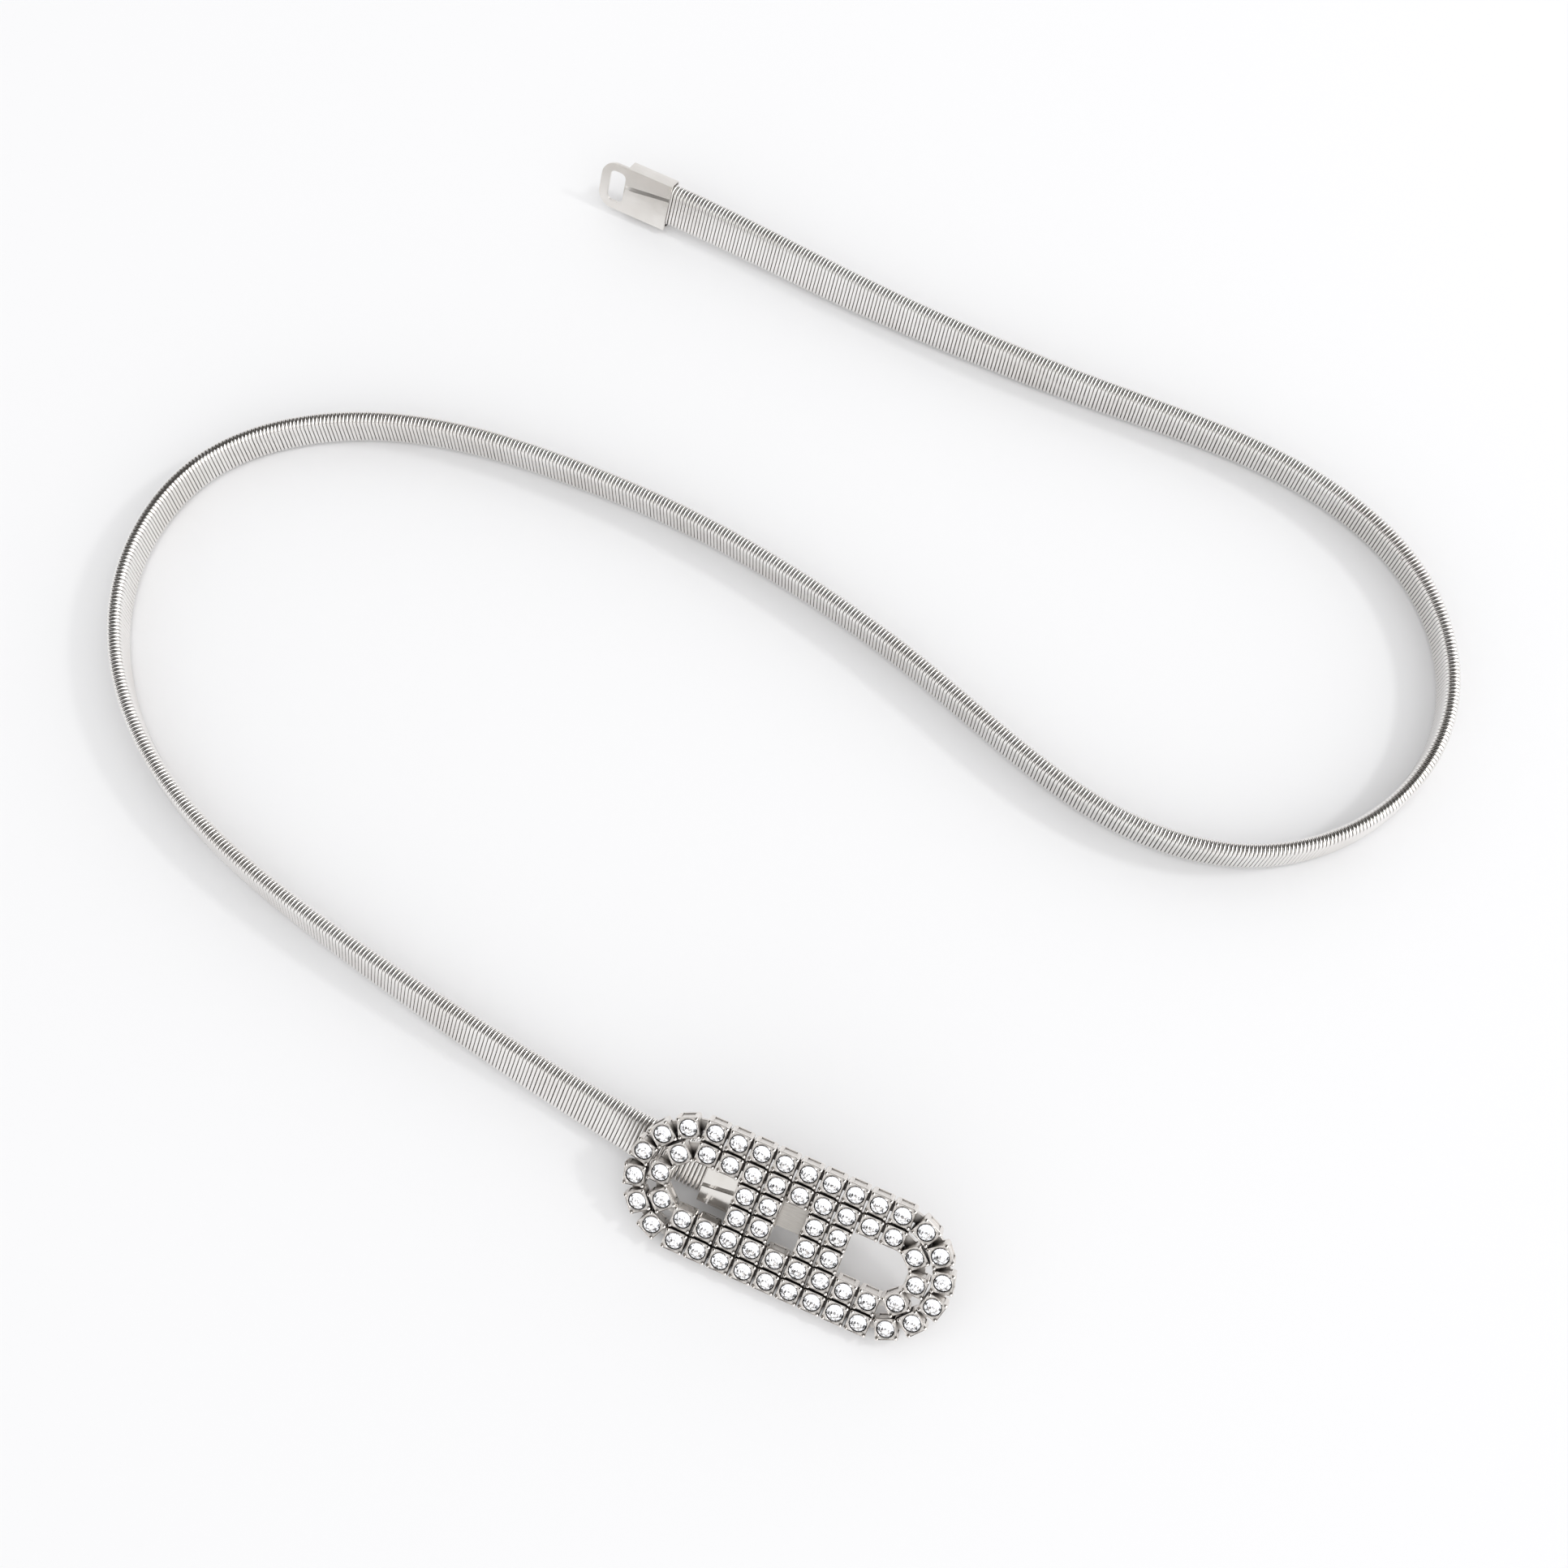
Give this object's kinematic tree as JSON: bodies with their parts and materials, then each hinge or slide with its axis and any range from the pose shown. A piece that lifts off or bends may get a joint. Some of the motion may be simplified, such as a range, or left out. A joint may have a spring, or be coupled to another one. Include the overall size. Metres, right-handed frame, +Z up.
{
  "type": "stretch waist chain",
  "caption": "Flat coil-spring waist chain lying open in an S, with an oblong stone-set buckle frame and a slotted eye cap on its free end.",
  "frame": {"origin": "middle of the whole object's box, on the surface it lies on", "axes": "+X along the buckle's long side, towards its far end; +Y across the S towards the free end; +Z up"},
  "size_m": [0.212, 0.168, 0.0141],
  "materials": {
    "spring_strap": "bright plated spring wire",
    "eye_cap": "polished pressed sheet",
    "strap_cap": "polished pressed sheet",
    "stone_frame": "bright plated casting set with clear stones",
    "hook_clip": "plain folded strip"
  },
  "bodies": {
    "root": {"spring_strap": "spring_strap", "eye_cap": "eye_cap", "strap_cap": "strap_cap", "stone_frame": "stone_frame", "hook_clip": "hook_clip"}
  },
  "joints": []
}
